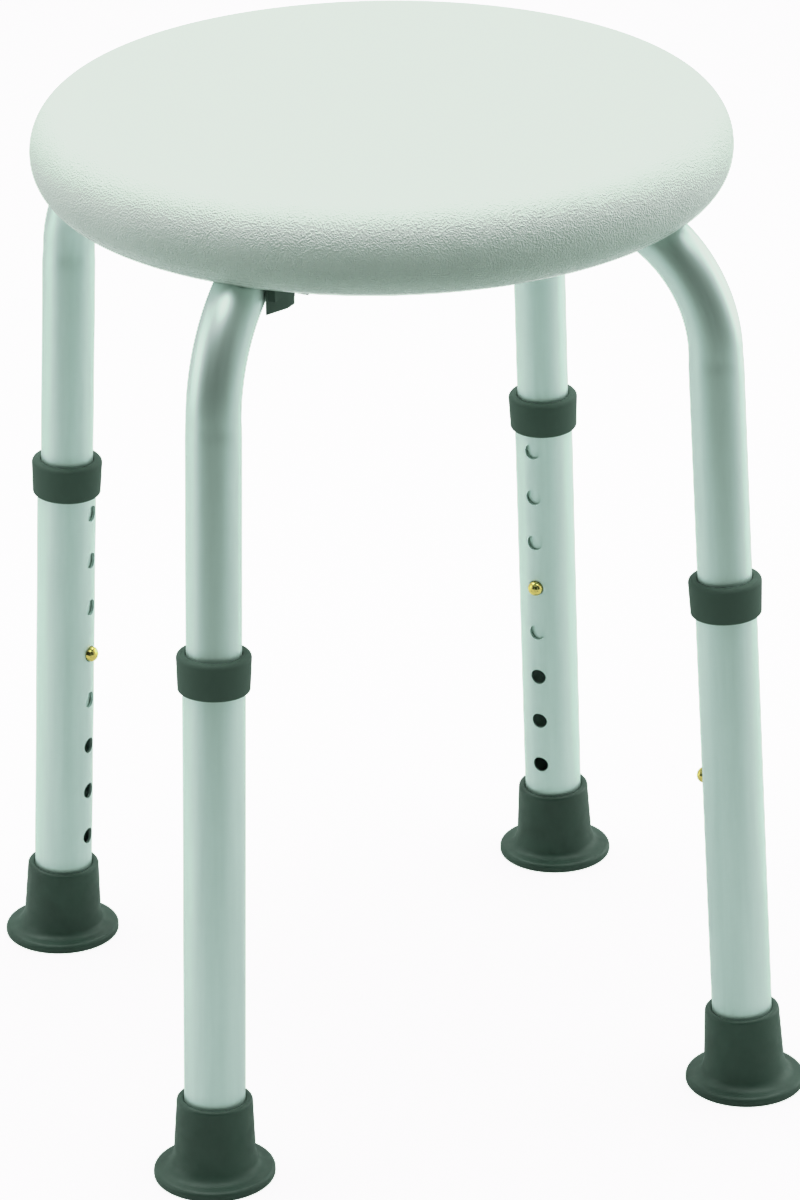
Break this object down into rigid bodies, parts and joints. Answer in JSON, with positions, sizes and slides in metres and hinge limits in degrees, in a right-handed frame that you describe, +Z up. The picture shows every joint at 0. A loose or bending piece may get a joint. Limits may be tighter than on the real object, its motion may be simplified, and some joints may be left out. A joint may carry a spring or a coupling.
{
  "type": "shower stool",
  "caption": "Round moulded seat on splayed tubular legs with telescoping lower tubes, push-button height stops, collars and flanged rubber feet.",
  "frame": {"origin": "on the floor under the centre of the seat", "axes": "+Z up; the four legs stand on the diagonals, -Y is the front and +X the right"},
  "size_m": [0.3258, 0.3258, 0.472],
  "materials": {
    "seat": "fine moulded grain, satin",
    "tube": "satin anodised, slightly grey-green",
    "dark_plastic": "smooth, semi-gloss, dark grey-green",
    "rubber": "smooth moulded rubber, dark grey-green",
    "brass": "turned and polished",
    "steel": "zinc-plated steel"
  },
  "bodies": {
    "frame": {"seat_top": "seat", "seat_base": "seat", "leg_hub": "dark_plastic", "hub_screws": "steel", "leg_screws": "steel", "clip_screws": "steel", "leg_clip_front_left": "dark_plastic", "leg_clip_front_right": "dark_plastic", "leg_clip_rear_left": "dark_plastic", "leg_clip_rear_right": "dark_plastic", "upper_leg_front_left": "tube", "upper_leg_front_right": "tube", "upper_leg_rear_left": "tube", "upper_leg_rear_right": "tube", "button_spring_front_left": "steel", "button_spring_front_right": "steel", "button_spring_rear_left": "steel", "button_spring_rear_right": "steel"},
    "lower_front_left": {"lower_leg_front_left": "tube", "collar_front_left": "dark_plastic", "foot_front_left": "rubber", "foot_washer_front_left": "steel"},
    "button_front_left": {"snap_button_front_left": "brass"},
    "lower_front_right": {"lower_leg_front_right": "tube", "collar_front_right": "dark_plastic", "foot_front_right": "rubber", "foot_washer_front_right": "steel"},
    "button_front_right": {"snap_button_front_right": "brass"},
    "lower_rear_left": {"lower_leg_rear_left": "tube", "collar_rear_left": "dark_plastic", "foot_rear_left": "rubber", "foot_washer_rear_left": "steel"},
    "button_rear_left": {"snap_button_rear_left": "brass"},
    "lower_rear_right": {"lower_leg_rear_right": "tube", "collar_rear_right": "dark_plastic", "foot_rear_right": "rubber", "foot_washer_rear_right": "steel"},
    "button_rear_right": {"snap_button_rear_right": "brass"}
  },
  "joints": [
    {"name": "height_front_left", "type": "slide", "parent": "frame", "child": "lower_front_left", "axis": [-0.0363, -0.0363, -0.9987], "range_m": [-0.1016, 0.0762], "deforming": ["snap_button_front_left"]},
    {"name": "press_front_left", "type": "slide", "parent": "frame", "child": "button_front_left", "axis": [-0.7062, -0.7062, 0.0513], "range_m": [0, 0.0054], "stiffness_N_per_m": 1500, "springref_m": -0.002, "deforming": ["button_spring_front_left"]},
    {"name": "height_front_right", "type": "slide", "parent": "frame", "child": "lower_front_right", "axis": [0.0363, -0.0363, -0.9987], "range_m": [-0.1016, 0.0762], "deforming": ["snap_button_front_right"]},
    {"name": "press_front_right", "type": "slide", "parent": "frame", "child": "button_front_right", "axis": [0.7062, -0.7062, 0.0513], "range_m": [0, 0.0054], "stiffness_N_per_m": 1500, "springref_m": -0.002, "deforming": ["button_spring_front_right"]},
    {"name": "height_rear_left", "type": "slide", "parent": "frame", "child": "lower_rear_left", "axis": [-0.0363, 0.0363, -0.9987], "range_m": [-0.1016, 0.0762], "deforming": ["snap_button_rear_left"]},
    {"name": "press_rear_left", "type": "slide", "parent": "frame", "child": "button_rear_left", "axis": [-0.7062, 0.7062, 0.0513], "range_m": [0, 0.0054], "stiffness_N_per_m": 1500, "springref_m": -0.002, "deforming": ["button_spring_rear_left"]},
    {"name": "height_rear_right", "type": "slide", "parent": "frame", "child": "lower_rear_right", "axis": [0.0363, 0.0363, -0.9987], "range_m": [-0.1016, 0.0762], "deforming": ["snap_button_rear_right"]},
    {"name": "press_rear_right", "type": "slide", "parent": "frame", "child": "button_rear_right", "axis": [0.7062, 0.7062, 0.0513], "range_m": [0, 0.0054], "stiffness_N_per_m": 1500, "springref_m": -0.002, "deforming": ["button_spring_rear_right"]}
  ]
}
